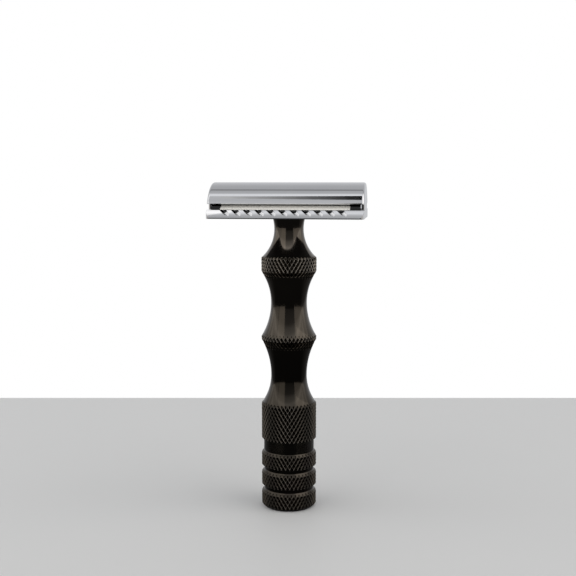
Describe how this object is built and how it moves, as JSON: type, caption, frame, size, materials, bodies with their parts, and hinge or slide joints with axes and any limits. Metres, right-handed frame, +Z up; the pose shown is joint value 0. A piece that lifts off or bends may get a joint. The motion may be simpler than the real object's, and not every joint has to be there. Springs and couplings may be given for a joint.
{
  "type": "safety razor",
  "caption": "Three-piece double-edge safety razor with a domed cap, a notched guard plate and a waisted, knurled metal handle that stands on a ringed foot.",
  "frame": {"origin": "centre of the flat foot that the razor stands on", "axes": "+Z up the handle to the head, +X along the cutting edges, +Y from one cutting edge to the other"},
  "size_m": [0.0454, 0.024, 0.0979],
  "materials": {
    "head_chrome": "polished",
    "stud_steel": "satin",
    "blade_steel": "fine ground",
    "handle_metal": "dark polished plating",
    "insert_brass": "machined"
  },
  "bodies": {
    "handle": {"handle_body": "handle_metal", "thread_insert": "insert_brass", "base_knob": "handle_metal"},
    "plate": {"base_plate": "head_chrome"},
    "cap": {"cap": "head_chrome", "cap_stud": "stud_steel", "peg_left": "stud_steel", "peg_right": "stud_steel"},
    "blade": {"blade": "blade_steel"}
  },
  "joints": [
    {"name": "head_turn", "type": "hinge", "parent": "handle", "child": "plate", "pos_m": [0, 0, 0.0883], "axis": [0, 0, 1], "range_deg": [0, 2880]},
    {"name": "cap_lift", "type": "slide", "parent": "plate", "child": "cap", "axis": [0, 0, 1], "range_m": [0, 0.0064]},
    {"name": "blade_lift", "type": "slide", "parent": "plate", "child": "blade", "axis": [0, 0, 1], "range_m": [0, 0.0032]}
  ],
  "couplings": [
    {"joint": "cap_lift", "follows": "head_turn", "m_per_rad": 0.00012732},
    {"joint": "blade_lift", "follows": "head_turn", "m_per_rad": 0.00006366}
  ]
}
